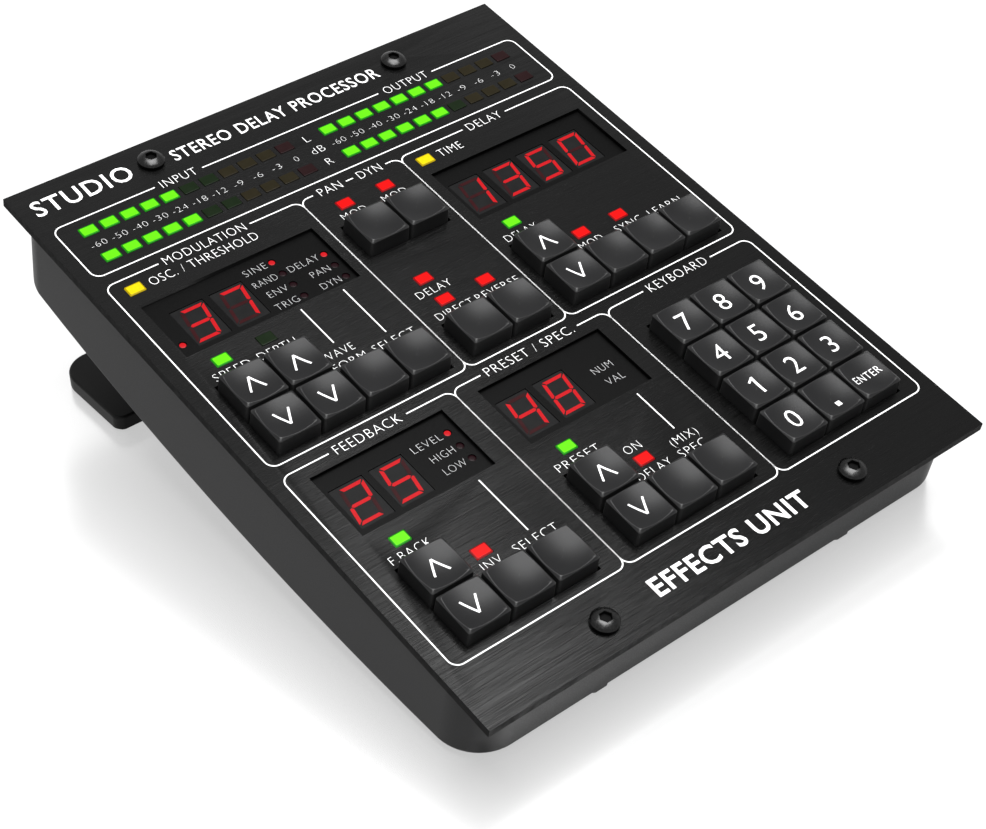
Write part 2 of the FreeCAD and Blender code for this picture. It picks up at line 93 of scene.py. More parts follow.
# Printed words: text, middle u, middle v, printed width, cap height.
TITLES = [
    ("INPUT", -31.8, 69.5, 9.2, TITLE_CAP),
    ("OUTPUT", 31.8, 69.5, 12.6, TITLE_CAP),
    ("MODULATION", -38.9, 48.9, 20.7, TITLE_CAP),
    ("PAN", -5.5, 48.9, 6.0, TITLE_CAP),
    ("DYN", 5.5, 48.9, 6.2, TITLE_CAP),
    ("DELAY", 39.0, 48.9, 9.8, TITLE_CAP),
    ("FEEDBACK", -42.6, -14.2, 16.5, TITLE_CAP),
    ("PRESET / SPEC.", 0.0, -14.2, 23.9, TITLE_CAP),
    ("KEYBOARD", 42.7, -14.2, 17.2, TITLE_CAP),
    ("OSC. / THRESHOLD", -41.5, 45.2, 27.3, TITLE_CAP),
    ("TIME", 25.9, 45.2, 6.6, TITLE_CAP),
]
LABELS = [
    ("SPEED", -55.2, 14.9, 8.9, LABEL_CAP),
    ("DEPTH", -44.0, 14.9, 9.3, LABEL_CAP),
    ("WAVE", -34.2, 7.2, 7.9, LABEL_CAP),
    ("FORM", -33.6, 3.8, 8.2, LABEL_CAP),
    ("SELECT", -22.0, 3.8, 10.9, LABEL_CAP),
    ("MOD", -5.6, 39.6, 6.5, LABEL_CAP),
    ("MOD", 5.6, 39.6, 6.5, LABEL_CAP),
    ("DELAY", -5.6, 11.2, 9.0, LABEL_CAP),
    ("DIRECT", -5.6, 3.9, 9.8, LABEL_CAP),
    ("REVERSE", 6.2, 3.9, 11.6, LABEL_CAP),
    ("DELAY", 22.0, 14.8, 9.0, LABEL_CAP),
    ("MOD", 33.3, 3.9, 6.5, LABEL_CAP),
    ("SYNC", 44.5, 3.9, 7.7, LABEL_CAP),
    ("LEARN", 55.5, 3.9, 9.5, LABEL_CAP),
    ("F.BACK", -53.9, -42.8, 9.8, LABEL_CAP),
    ("INV", -42.7, -53.8, 4.7, LABEL_CAP),
    ("SELECT", -31.6, -53.8, 10.9, LABEL_CAP),
    ("PRESET", -11.1, -42.8, 11.3, LABEL_CAP),
    ("ON", 0.0, -46.9, 4.1, LABEL_CAP),
    ("DELAY", 0.0, -53.8, 9.0, LABEL_CAP),
    ("(MIX)", 11.0, -50.5, 7.0, LABEL_CAP),
    ("SPEC.", 11.0, -53.8, 8.0, LABEL_CAP),
    ("L", 0.0, 65.2, 1.3, LABEL_CAP),
    ("dB", 0.0, 60.9, 3.4, LABEL_CAP),
    ("R", 0.0, 56.4, 1.6, LABEL_CAP),
]
SCALE = ("-60", "-50", "-40", "-30", "-24", "-18", "-12", "-9", "-6", "-3", "0")
SCALE_V = 60.85
SCALE_WIDTHS = {3: 3.8, 2: 2.5, 1: 1.1}
SIGN_SHIFT = -0.35  # moves the scale's figures with a sign to the left

# Headings: text, middle u, middle v, printed width, cap height and boldness.
HEADINGS = [
    ("STUDIO", -51.8, 76.8, 24.6, 4.8, 0.06),
    ("STEREO DELAY PROCESSOR", -0.4, 76.1, 57.4, 3.5, 0.02),
    ("EFFECTS UNIT", 0.0, -76.4, 42.0, 4.5, 0.12),
]

# Words beside the small lamps in the windows: right end u, middle v and printed width.
WINDOW_LABELS = [
    ("SINE", -31.0, 37.2, 5.7),
    ("RAND", -31.0, 33.2, 5.9),
    ("ENV", -31.0, 29.3, 4.9),
    ("TRIG", -31.0, 25.3, 5.7),
    ("DELAY", -20.0, 33.3, 7.8),
    ("PAN", -20.0, 29.3, 4.7),
    ("DYN", -20.0, 25.3, 4.9),
    ("LEVEL", -30.0, -22.3, 7.4),
    ("HIGH", -30.0, -26.4, 5.7),
    ("LOW", -30.0, -30.3, 5.4),
    ("NUM", 13.1, -25.9, 5.2),
    ("VAL", 13.1, -29.8, 4.6),
]

# What the lamps and digits show: lit lamps in each meter row, by (right meter, upper row).
METER_LEVELS = {(False, True): 5, (False, False): 5, (True, True): 7, (True, False): 6}
METER_START = {False: -57.4, True: 6.2}
METER_PITCH = 5.14
READINGS = {"modulation": "37", "delay": "1350", "feedback": "25", "preset": "48"}
DARK_STATUS = (-44.2, 18.5)
LIT_DOTS = [(-29.5, 37.2), (-18.5, 33.3), (-59.1, 27.0), (-28.4, -22.3)]

# Seven segments, named a to g as usual, lit in each figure.
FIGURES = {
    "0": "abcdef", "1": "bc", "2": "abged", "3": "abgcd", "4": "fgbc",
    "5": "afgcd", "6": "afgcde", "7": "abc", "8": "abcdefg", "9": "abcfgd",
}
DIGIT_HEIGHT = 9.6
DIGIT_BREADTH = 5.9
DIGIT_STROKE = 0.82
DIGIT_GAP = 0.16
DIGIT_SLANT = math.tan(math.radians(10))
MODULE_LEAST = 4.0  # anything narrower in a window is a small round lamp
MODULE_CORNER = 0.3
MODULE_RINGS = ((0.0, 3.0), (0.0, 0.1), (0.1, 0.0))  # inset and drop of its outline
SEGMENT_SUNK = 0.2
SEGMENT_PROUD = {True: 0.06, False: 0.03}  # lit or dark, above the module's face

# Lamps: how their outlines narrow and drop towards the top
LENS_RINGS = ((0.0, 1.5), (0.0, 0.1), (0.04, 0.03), (0.12, 0.0), (0.26, 0.0))  # inset and drop
LENS_CORNER = 0.25
DOT_RINGS = ((1.0, 0.8), (1.0, 0.12), (0.8, 0.03), (0.5, 0.0))  # share of the radius and drop
DOT_POINTS = 20

# Keycap: half widths and heights above the panel's face
CAP_HALF = 5.22
CAP_SHOULDER_HALF = 5.15
CAP_SHOULDER = 3.35
CAP_SLOPE = 0.6 / 0.85
CAP_SKIRT = 2.6
CAP_CORNER = 0.5
CAP_TAPER = ((CAP_HALF, -CAP_SKIRT), (CAP_HALF, 0.0), (CAP_SHOULDER_HALF + 0.002, CAP_SHOULDER - 0.1))
CAP_EASE = ((0.01, 0.045), (0.04, 0.01))  # inset and drop where the sides meet the shoulder
CAP_CORNER_STEPS = 6
CAP_SIDE_PARTS = 10
CREASE_ROUND = 0.05
CREASE_OUTSIDE = (0.65, 0.35, 0.15, 0.0)  # shares of the way from the crease to the sides
CREASE_INSIDE = (0.06, 0.14, 0.28)
DISH_EDGE = 0.3  # how far inside the crease the dish's own rings begin
DISH_STEPS = 12
DISH_RADIUS = 22.0
DISH_LOWEST = 2.95
KEY_WORDS = {  # text, printed width, cap height and middle v; the point is a square
    "key_enter": ("ENTER", 7.6, 1.9, 0.0),
    "key_point": (".", 1.25, 1.25, -2.3),
}
ARROW = (1.88, 1.95)  # half width and half height
ARROW_STROKE = 0.46
ONE_STEM = ([(0.45, -FIGURE_CAP / 2), (0.45, FIGURE_CAP / 2)], 0.62)  # ends and stroke
ONE_FLAG = ([(-0.95, 1.3), (0.1, 1.95)], 0.5)
FIGURE_THIN = -0.05
WORD_THIN = -0.03
LEGEND_CUT = 0.8  # longer edges are cut, so that a legend follows the dish

# Panel screws, and how far out the plate's own edges begin
SCREW_HEAD_RADIUS = 3.05
SCREW_HEAD_HEIGHT = 2.2
SCREW_WALL = 0.95
SOCKET_ACROSS = 2.4
SOCKET_DEPTH = 1.2
SOCKET_LIP = 1.5
SOCKET_EASE = 0.1
SCREW_FOOT = 0.1  # chamfer under the head
SCREW_EASE = 0.08  # chamfer between the wall and the crown
CROWN_SPAN = (0.12, 0.2)  # how far inside the wall the crown's rings begin, and end outside the lip
SCREW_POINTS = 48
CROWN_STEPS = 8
PLATE_EDGES = (66, 82)

# How a CAD shape is refined: angles for joining faces and easing edges, and what faces out
FLAT_ANGLE = math.radians(0.2)
SHARP_ANGLE = math.radians(50)
FACING_OUT = 0.98

# Camera: its place and aim, and its lens for a 36 mm sensor
CAMERA_PLACE = (-0.23485, -0.28413, 0.30785)
CAMERA_AIM = (0.494, 0.5929, -0.6359)
CAMERA_LENS = 78.63

# Softbox: the middle of what it lights, its height and side in metres, and its power
SOFTBOX_MIDDLE = (0.1, -0.17)
SOFTBOX_HEIGHT = 1.2
SOFTBOX_SIDE = 0.98
SOFTBOX_WATTS = 60


def panel_matrix():
    """Maps panel millimetres to the row frame's metres."""
    points = [v.co for v in frame["nodes"]["front_panel"].data.vertices]
    origin = Vector((0, 0, 0))
    for axis in (RIGHT, REARWARD):
        along = [p.dot(axis) for p in points]
        origin += axis * (min(along) + max(along)) / 2
    origin += OUT * max(p.dot(OUT) for p in points)
    matrix = Matrix((RIGHT * MM, REARWARD * MM, OUT * MM)).transposed().to_4x4()
    matrix.translation = origin
    return matrix


PANEL = panel_matrix()


def node_mesh(node):
    """A CAD node's mesh as a bmesh in panel millimetres, with its faces joined up."""
    bm = bmesh.new()
    bm.from_mesh(frame["nodes"][node].data)
    bm.transform(PANEL.inverted())
    bmesh.ops.remove_doubles(bm, verts=bm.verts, dist=0.001)
    return bm


def solids(node):
    """The separate solids of a node, each as a list of its points in panel millimetres."""
    bm = node_mesh(node)
    left = set(bm.verts)
    found = []
    for seed in bm.verts:
        if seed not in left:
            continue
        left.remove(seed)
        group = [seed]
        for vert in group:
            joined = [edge.other_vert(vert) for edge in vert.link_edges]
            fresh = [other for other in joined if other in left]
            left.difference_update(fresh)
            group.extend(fresh)
        found.append([vert.co.copy() for vert in group])
    bm.free()
    return found


def top_box(points):
    """(left, right, front, rear, top) of the highest face of a solid."""
    top = max(p.z for p in points)
    face = [p for p in points if p.z > top - 0.01]
    us, vs = [p.x for p in face], [p.y for p in face]
    return min(us), max(us), min(vs), max(vs), top


def near(place, places):
    """True if the (u, v) place is within a millimetre of one of the places."""
    return any(math.dist(place, other) < 1.0 for other in places)


def polar(middle, radius, angle, w=0.0):
    """The point at an angle in radians and a distance from the (u, v) middle."""
    return Vector((middle[0] + radius * math.cos(angle), middle[1] + radius * math.sin(angle), w))


# Materials ------------------------------------------------------------------------------


class Shader:
    """A Principled material, with short ways to add the nodes that are used here."""

    def __init__(self, name, colour, roughness, metallic=0.0, specular=0.5):
        self.material = bpy.data.materials.new(name)
        self.material.use_nodes = True
        self.tree = self.material.node_tree
        self.surface = self.tree.nodes["Principled BSDF"]
        self.surface.inputs["Base Color"].default_value = (*colour, 1)
        self.surface.inputs["Roughness"].default_value = roughness
        self.surface.inputs["Metallic"].default_value = metallic
        self.surface.inputs["Specular IOR Level"].default_value = specular

    def add(self, kind, **values):
        """A new node with its named properties set."""
        node = self.tree.nodes.new(kind)
        for key, value in values.items():
            setattr(node, key, value)
        return node

    def link(self, source, target):
        """Joins an output to an input; a name means an input of the surface."""
        if isinstance(target, str):
            target = self.surface.inputs[target]
        self.tree.links.new(source, target)

    def place(self, stretch=(1, 1, 1), turn=(0, 0, 0)):
        """The object's own coordinates in metres, turned and stretched."""
        coordinates = self.add("ShaderNodeTexCoord")
        mapping = self.add("ShaderNodeMapping")
        mapping.inputs["Rotation"].default_value = turn
        mapping.inputs["Scale"].default_value = stretch
        self.link(coordinates.outputs["Object"], mapping.inputs["Vector"])
        return mapping.outputs["Vector"]

    def noise(self, vector, scale, detail):
        """A noise pattern from 0 to 1."""
        node = self.add("ShaderNodeTexNoise")
        node.inputs["Scale"].default_value = scale
        node.inputs["Detail"].default_value = detail
        self.link(vector, node.inputs["Vector"])
        return node.outputs["Fac"]

    def spread(self, value, low, high, start=0.3, end=0.7):
        """The value from start to end, spread from low to high."""
        node = self.add("ShaderNodeMapRange")
        node.inputs["From Min"].default_value = start
        node.inputs["From Max"].default_value = end
        node.inputs["To Min"].default_value = low
        node.inputs["To Max"].default_value = high
        self.link(value, node.inputs["Value"])
        return node.outputs["Result"]

    def mix(self, factor, dark, light):
        """A colour between dark and light; either may be an output."""
        node = self.add("ShaderNodeMix", data_type="RGBA")
        self.link(factor, node.inputs["Factor"])
        for socket, colour in ((node.inputs[6], dark), (node.inputs[7], light)):
            if isinstance(colour, tuple):
                socket.default_value = (*colour, 1)
            else:
                self.link(colour, socket)
        return node.outputs[2]

    def tone(self, factor, dark, light):
        """Runs the surface's colour from dark to light; a number is a grey."""
        ends = [(end,) * 3 if isinstance(end, float) else end for end in (dark, light)]
        self.link(self.mix(factor, *ends), "Base Color")

    def maths(self, operation, first, second):
        """One arithmetic step on an output and a number or an output."""
        node = self.add("ShaderNodeMath", operation=operation)
        self.link(first, node.inputs[0])
        if isinstance(second, float):
            node.inputs[1].default_value = second
        else:
            self.link(second, node.inputs[1])
        return node.outputs[0]

    def bump(self, height, strength, depth):
        """Bumps the surface by a height pattern of that depth in metres."""
        node = self.add("ShaderNodeBump")
        node.inputs["Strength"].default_value = strength
        node.inputs["Distance"].default_value = depth
        self.link(height, node.inputs["Height"])
        self.link(node.outputs["Normal"], "Normal")


def brushed_metal():
    """Black anodised aluminium, brushed from left to right."""
    shader = Shader("brushed_black", (0.003, 0.003, 0.003), 0.36, specular=0.22)
    tilt = -math.asin(REARWARD.z)
    fine = shader.noise(shader.place((130, 11000, 800), (tilt, 0, 0)), 1.0, 2.0)
    broad = shader.noise(shader.place((60, 5200, 400), (tilt, 0, 0)), 1.0, 3.0)
    streaks = shader.maths("MULTIPLY", shader.maths("ADD", fine, broad), 0.5)
    streaks = shader.spread(streaks, 0, 1, 0.34, 0.66)
    shader.tone(streaks, 0.0004, 0.0015)
    shader.link(shader.spread(streaks, 0.14, 0.36, 0.0, 1.0), "Roughness")
    shader.link(shader.spread(streaks, 0.14, 0.035, 0.0, 1.0), "Specular IOR Level")
    shader.surface.inputs["Anisotropic"].default_value = 0.6
    shader.surface.inputs["Anisotropic Rotation"].default_value = 0.25
    tangent = shader.add("ShaderNodeTangent", direction_type="UV_MAP")
    shader.link(tangent.outputs["Tangent"], "Tangent")
    shader.bump(streaks, 0.35, 0.00003)
    return shader.material


def matt_black():
    """The dyed edges of the plate, dull and slightly uneven; on the screw sockets the same dull black
    stands for painted shade.
    """
    shader = Shader("dyed_edge_and_socket_shade", (0.001, 0.001, 0.001), 0.6, specular=0.03)
    patches = shader.noise(shader.place(), 700, 3.0)
    shader.tone(shader.spread(patches, 0, 1), 0.0007, 0.0016)
    shader.link(shader.spread(patches, 0.5, 0.7), "Roughness")
    return shader.material


def moulded(name, colour, roughness, specular=0.5):
    """Moulded plastic with a fine spark-eroded grain and faint mottling."""
    shader = Shader(name, colour, roughness, specular=specular)
    place = shader.place()
    cloud = shader.noise(place, 38, 4.0)
    lighter = tuple(channel * 1.15 for channel in colour)
    darker = tuple(channel * 0.88 for channel in colour)
    shader.tone(shader.spread(cloud, 0, 1), darker, lighter)
    pits = shader.noise(place, 5200, 2.0)
    shader.link(shader.spread(pits, roughness - 0.06, roughness + 0.08), "Roughness")
    shader.bump(pits, 0.3, 0.00002)
    return shader.material


def keycap_plastic():
    """Satin moulded keycap, a little paler along its sharp edges as a painted highlight."""
    shader = Shader("keycap_plastic", (0.003, 0.003, 0.0032), 0.33, specular=0.1)
    place = shader.place()
    geometry = shader.add("ShaderNodeNewGeometry")
    # Pointiness finds the sharp edges; they are lightened towards 0.018 as a painted highlight.
    edge = shader.spread(geometry.outputs["Pointiness"], 0, 1, 0.5, 0.56)
    cloud = shader.spread(shader.noise(place, 120, 3.0), 0, 1)
    body = shader.mix(cloud, (0.0025, 0.0025, 0.0027), (0.0035, 0.0035, 0.0037))
    shader.tone(edge, body, 0.018)
    pits = shader.noise(place, 6500, 2.0)
    shader.link(shader.spread(pits, 0.3, 0.4), "Roughness")
    shader.bump(pits, 0.15, 0.00001)
    return shader.material


def ink(name, colour):
    """Screen-printed ink with faint unevenness."""
    shader = Shader(name, colour, 0.55)
    patches = shader.noise(shader.place(), 900, 3.0)
    duller = tuple(channel * 0.9 for channel in colour)
    shader.tone(shader.spread(patches, 0, 1), duller, colour)
    shader.link(shader.spread(patches, 0.48, 0.62), "Roughness")
    return shader.material


def lamp(name, colour, strength):
    """A lit lamp, with faint unevenness in its glow."""
    shader = Shader(name, tuple(channel * 0.02 for channel in colour), 0.3, specular=0.05)
    grain = shader.spread(shader.noise(shader.place(), 1500, 2.0), 0.92 * strength, 1.08 * strength)
    shader.surface.inputs["Emission Color"].default_value = (*colour, 1)
    shader.link(grain, "Emission Strength")
    return shader.material


def dark_lens(name, colour, glow=0.0):
    """An unlit tinted lens, with a faint glow from the lamps beside it if asked."""
    shader = Shader(name, colour, 0.3, specular=0.04)
    cloud = shader.spread(shader.noise(shader.place(), 400, 2.0), 0, 1)
    lighter = tuple(channel * 1.12 for channel in colour)
    shader.tone(cloud, colour, lighter)
    shader.link(shader.spread(cloud, 0.27, 0.34, 0.0, 1.0), "Roughness")
    if glow:
        shader.surface.inputs["Emission Color"].default_value = (*colour, 1)
        shader.surface.inputs["Emission Strength"].default_value = glow
    return shader.material


def black_screw():
    """Black oxide on steel, glossy, with fine turning marks."""
    shader = Shader("black_oxide", (0.02, 0.02, 0.021), 0.28, metallic=1.0)
    marks = shader.noise(shader.place(), 2600, 3.0)
    shader.tone(shader.spread(marks, 0, 1), 0.017, 0.024)
    shader.link(shader.spread(marks, 0.24, 0.32), "Roughness")
    return shader.material


def bright_metal(name, colour):
    """Plated steel with a light brushed grain."""
    shader = Shader(name, colour, 0.3, metallic=1.0)
    grain = shader.noise(shader.place((1, 40, 1)), 900, 3.0)
    darker = tuple(channel * 0.8 for channel in colour)
    shader.tone(shader.spread(grain, 0, 1), darker, colour)
    shader.link(shader.spread(grain, 0.24, 0.4), "Roughness")
    return shader.material


def rubber():
    """Soft black rubber, matt and a little dusty."""
    shader = Shader("foot_rubber", (0.015, 0.015, 0.015), 0.8, specular=0.3)
    dust = shader.noise(shader.place(), 240, 5.0)
    shader.tone(shader.spread(dust, 0, 1, 0.45, 0.8), 0.013, 0.03)
    shader.link(shader.spread(dust, 0.72, 0.9), "Roughness")
    shader.bump(shader.noise(shader.place(), 3000, 2.0), 0.3, 0.00003)
    return shader.material


def board_laminate():
    """Green solder resist with a grid of paler lines."""
    shader = Shader("board_laminate", (0.02, 0.16, 0.06), 0.35)
    brick = shader.add("ShaderNodeTexBrick")
    brick.inputs["Scale"].default_value = 240
    brick.inputs["Mortar Size"].default_value = 0.012
    brick.inputs["Color1"].default_value = (0.015, 0.12, 0.045, 1)
    brick.inputs["Color2"].default_value = (0.02, 0.15, 0.055, 1)
    brick.inputs["Mortar"].default_value = (0.06, 0.3, 0.1, 1)
    shader.link(shader.place(), brick.inputs["Vector"])
    shader.link(brick.outputs["Color"], "Base Color")
    shader.bump(brick.outputs["Fac"], 0.3, 0.00003)
    return shader.material


def floor_finish():
    """White acrylic, lit from below, that mirrors a little."""
    shader = Shader("studio_floor", (0.08, 0.08, 0.08), 0.24)
    grain = shader.noise(shader.place(), 3.0, 2.0)
    shader.tone(shader.spread(grain, 0, 1), 0.078, 0.082)
    shader.surface.inputs["IOR"].default_value = 4.2
    shader.surface.inputs["Emission Color"].default_value = (1, 1, 1, 1)
    shader.surface.inputs["Emission Strength"].default_value = 0.53
    return shader.material


LAMP_COLOURS = {
    "green": ((0.17, 0.97, 0.005), (0.01, 0.3, 0.002)),
    "amber": ((1.0, 0.6, 0.01), (0.4, 0.2, 0.0)),
    "yellow": ((1.0, 0.82, 0.0), (0.5, 0.36, 0.0)),
    "red": ((1.0, 0.001, 0.001), (0.35, 0.0, 0.002)),
}
DARK_COLOURS = {
    "green": (0.0016, 0.0042, 0.001),
    "amber": (0.0052, 0.0041, 0.0015),
    "yellow": (0.0052, 0.0045, 0.0015),
    "red": (0.0048, 0.0013, 0.0015),
    "dot": (0.0037, 0.0007, 0.0012),
}


# Pieces ---------------------------------------------------------------------------------


def make_piece(name, bm, materials, body, replaces=(), angle=30):
    """Turns a bmesh into a piece that rides on a body and stands for CAD nodes."""
    bm.transform(PANEL)
    mesh = bpy.data.meshes.new(name)
    bm.to_mesh(mesh)
    bm.free()
    for material in materials:
        mesh.materials.append(material)
    mesh.shade_smooth()
    mesh.set_sharp_from_angle(angle=math.radians(angle))
    piece = bpy.data.objects.new(name, mesh)
    bpy.context.scene.collection.objects.link(piece)
    weights = piece.modifiers.new("face_weights", "WEIGHTED_NORMAL")
    weights.keep_sharp = True
    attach(piece, body)
    if replaces:
        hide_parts(*replaces)


def loft(bm, rings, material=0):
    """Joins rings of points, each with the same count, into a skin with its ends closed."""
    skins = [[bm.verts.new(point) for point in ring] for ring in rings]
    faces = []
    count = len(skins[0])
    for lower, upper in zip(skins, skins[1:]):
        for k in range(count):
            after = (k + 1) % count
            faces.append(bm.faces.new((lower[k], lower[after], upper[after], upper[k])))
    faces.append(bm.faces.new(skins[0][::-1]))
    faces.append(bm.faces.new(skins[-1]))
    for face in faces:
        face.material_index = material


def rounded_rectangle(u0, u1, v0, v1, radius, w, steps):
    """Points round a rectangle with rounded corners, anticlockwise seen from +w."""
    points = []
    corners = [(u1, v0, -90), (u1, v1, 0), (u0, v1, 90), (u0, v0, 180)]
    for u, v, start in corners:
        middle_u = u - radius if u == u1 else u + radius
        middle_v = v - radius if v == v1 else v + radius
        for step in range(steps + 1):
            angle = math.radians(start + 90 * step / steps)
            points.append(polar((middle_u, middle_v), radius, angle, w))
    return points


def edge_material(face):
    """The material of a face that doesn't face out of the panel: 1 outside, 2 in an opening."""
    middle = face.calc_center_median()
    return 1 if abs(middle.x) > PLATE_EDGES[0] or abs(middle.y) > PLATE_EDGES[1] else 2


def refined(node, name, materials, bevel, angle=30):
    """A CAD node's own shape with its flat faces joined up and its sharp edges eased.

    More materials, if given, go on its outer edges and in its openings.
    """
    bm = node_mesh(node)
    bmesh.ops.dissolve_limit(bm, angle_limit=FLAT_ANGLE, verts=bm.verts, edges=bm.edges)
    if bevel:
        closed = [edge for edge in bm.edges if len(edge.link_faces) == 2]
        sharp = [edge for edge in closed if edge.calc_face_angle() > SHARP_ANGLE]
        bmesh.ops.bevel(
            bm, geom=sharp, offset=bevel, segments=2, profile=0.5, affect="EDGES", clamp_overlap=True,
        )
    layer = bm.loops.layers.uv.new("panel")
    for face in bm.faces:
        if len(materials) > 1 and face.normal.z < FACING_OUT:
            face.material_index = edge_material(face)
        for loop in face.loops:
            loop[layer].uv = loop.vert.co.xy / 100
    make_piece(name, bm, materials, "chassis", (node,), angle)


def dish_height(radius):
    """How high the dished top is above the panel at a distance from the key's middle."""
    return DISH_LOWEST + radius**2 / (2 * DISH_RADIUS)


def shoulder_height(share):
    """How high the sloping shoulder is at a share of its outer edge's distance."""
    return CAP_SHOULDER + (1 - share) * CAP_SHOULDER_HALF * CAP_SLOPE


def crease_share(point):
    """Where the line from the middle to a point of the outline meets the dish's edge."""
    low, high = 0.5, 1.0
    for _ in range(30):
        middle = (low + high) / 2
        if shoulder_height(middle) > dish_height(middle * point.length):
            low = middle
        else:
            high = middle
    return low


def cap_outline(half):
    """Points round a keycap at one height, close together along its straight sides."""
    corners = rounded_rectangle(-half, half, -half, half, CAP_CORNER, 0, CAP_CORNER_STEPS)
    points = []
    for k, start in enumerate(corners):
        end = corners[(k + 1) % len(corners)]
        straight = k % (CAP_CORNER_STEPS + 1) == CAP_CORNER_STEPS
        parts = CAP_SIDE_PARTS if straight else 1
        points += [start.lerp(end, part / parts).xy for part in range(parts)]
    return points


def cap_top(point, share):
    """A point of the shoulder or the dish, rounded where they meet."""
    shoulder = shoulder_height(share)
    dish = dish_height(share * point.length)
    height = (shoulder + dish - math.hypot(shoulder - dish, CREASE_ROUND)) / 2
    return Vector((*(point * share), height))


def keycap(bm, middle):
    """A dished keycap about (u, v) with steep sides and sloping shoulders."""
    outer = cap_outline(CAP_SHOULDER_HALF)
    creases = [crease_share(point) for point in outer]
    rings = []
    for half, height in CAP_TAPER:
        rings.append([Vector((*point, height)) for point in cap_outline(half)])
    for inset, drop in CAP_EASE:
        edge = 1 - inset / CAP_SHOULDER_HALF
        rings.append([Vector((*(point * edge), shoulder_height(edge) - drop)) for point in outer])
    pairs = list(zip(outer, creases))
    for share in CREASE_OUTSIDE:
        rings.append([cap_top(point, crease + (edge - crease) * share) for point, crease in pairs])
    for inset in CREASE_INSIDE:
        rings.append([cap_top(point, crease - inset / point.length) for point, crease in pairs])
    for step in range(1, DISH_STEPS):
        share = 1 - step / DISH_STEPS
        reaches = [(point, crease - DISH_EDGE / point.length) for point, crease in pairs]
        rings.append([cap_top(point, reach * share) for point, reach in reaches])
    loft(bm, [[point + Vector((*middle, 0)) for point in ring] for ring in rings])


def text_mesh(text, width, cap, bold, align):
    """Flat text of one width and cap height in millimetres, level with y = 0, made bolder.

    Without a width, the letters keep the font's proportions.
    """
    curve = bpy.data.curves.new("text", "FONT")
    curve.body = text
    curve.align_x = align
    curve.resolution_u = 3
    curve.space_character = LETTER_SPACING
    maker = bpy.data.objects.new("text", curve)
    mesh = bpy.data.meshes.new_from_object(maker)
    xs = [vert.co.x for vert in mesh.vertices]
    ys = [vert.co.y for vert in mesh.vertices]
    bpy.data.meshes.remove(mesh)
    high = max(ys) - min(ys) if text.isdigit() else FONT_CAP
    tall = (cap - 2 * bold) / high
    wide = (width - 2 * bold) / (max(xs) - min(xs)) if width else tall
    shift = {"CENTER": (max(xs) + min(xs)) / 2, "RIGHT": max(xs)}[align]
    base = min(ys) if text.isdigit() else 0.0
    curve.offset = bold / tall
    curve.extrude = INK / 2
    mesh = bpy.data.meshes.new_from_object(maker)
    fit = Matrix.Diagonal((wide, tall, 1, 1)) @ Matrix.Translation((-shift, -base - high / 2, 0))
    mesh.transform(fit)
    bpy.data.objects.remove(maker)
    bpy.data.curves.remove(curve)
    return mesh


def font_cap():
    """The height of a capital in the built-in font at size 1."""
    curve = bpy.data.curves.new("text", "FONT")
    curve.body = "H"
    maker = bpy.data.objects.new("text", curve)
    mesh = bpy.data.meshes.new_from_object(maker)
    cap = max(vert.co.y for vert in mesh.vertices)
    bpy.data.objects.remove(maker)
    bpy.data.meshes.remove(mesh)
    return cap


FONT_CAP = font_cap()


def print_text(bm, text, u, v, w, width, cap, bold, align="CENTER"):
    """Adds printed text to a bmesh."""
    mesh = text_mesh(text, width, cap, bold, align)
    mesh.transform(Matrix.Translation((u, v, w)))
    bm.from_mesh(mesh)
    bpy.data.meshes.remove(mesh)


def ribbon(bm, points, width, w):
    """Adds a printed line of one width along the (u, v) points."""
    points = [Vector(point) for point in points]
    sides = []
    for k, point in enumerate(points):
        before = points[max(k - 1, 0)]
        after = points[min(k + 1, len(points) - 1)]
        along = (after - before).normalized()
        across = Vector((-along.y, along.x)) * width / 2
        sides.append((point + across, point - across))
    rings = []
    for left, right in sides:
        low, high = w - INK / 2, w + INK / 2
        corners = ((left, low), (right, low), (right, high), (left, high))
        rings.append([Vector((*side, height)) for side, height in corners])
    loft(bm, rings)


def corner_arc(u, v, start):
    """Points of a section's rounded corner about (u, v), clockwise from the start angle."""
    angles = [math.radians(start - 90 * step / CORNER_STEPS) for step in range(CORNER_STEPS + 1)]
    return [polar((u, v), CORNER, angle).xy for angle in angles]


def frame_line(bm, box, gaps, w):
    """A section's rounded frame, open along its rear line where its titles stand."""
    u0, u1, v0, v1 = box
    first, last = gaps[0], gaps[-1]
    path = [(last[1], v1)]
    path += corner_arc(u1 - CORNER, v1 - CORNER, 90)
    path += corner_arc(u1 - CORNER, v0 + CORNER, 0)
    path += corner_arc(u0 + CORNER, v0 + CORNER, -90)
    path += corner_arc(u0 + CORNER, v1 - CORNER, 180)
    path.append((first[0], v1))
    ribbon(bm, path, LINE, w)
    for left, right in zip(gaps, gaps[1:]):
        ribbon(bm, [(left[1], v1), (right[0], v1)], LINE, w)


def panel_printing():
    """All the printing on the panel, as one piece."""
    bm = bmesh.new()
    w = INK / 4
    for box, gaps in FRAMES:
        frame_line(bm, box, gaps, w)
    for start, end in LINES:
        ribbon(bm, [start, end], LINE, w)
    for text, u, v, width, cap in TITLES + LABELS:
        print_text(bm, text, u, v, w, width, cap, THIN)
    for right in (False, True):
        for step, text in enumerate(SCALE):
            width = SCALE_WIDTHS[len(text)]
            shift = SIGN_SHIFT if len(text) > 1 else 0.0
            u = METER_START[right] + step * METER_PITCH + shift
            print_text(bm, text, u, SCALE_V, w, width, SCALE_CAP, THIN)
    for text, u, v, width, cap, bold in HEADINGS:
        print_text(bm, text, u, v, w, width, cap, bold)
    make_piece("panel_printing", bm, [WHITE_INK], "chassis")


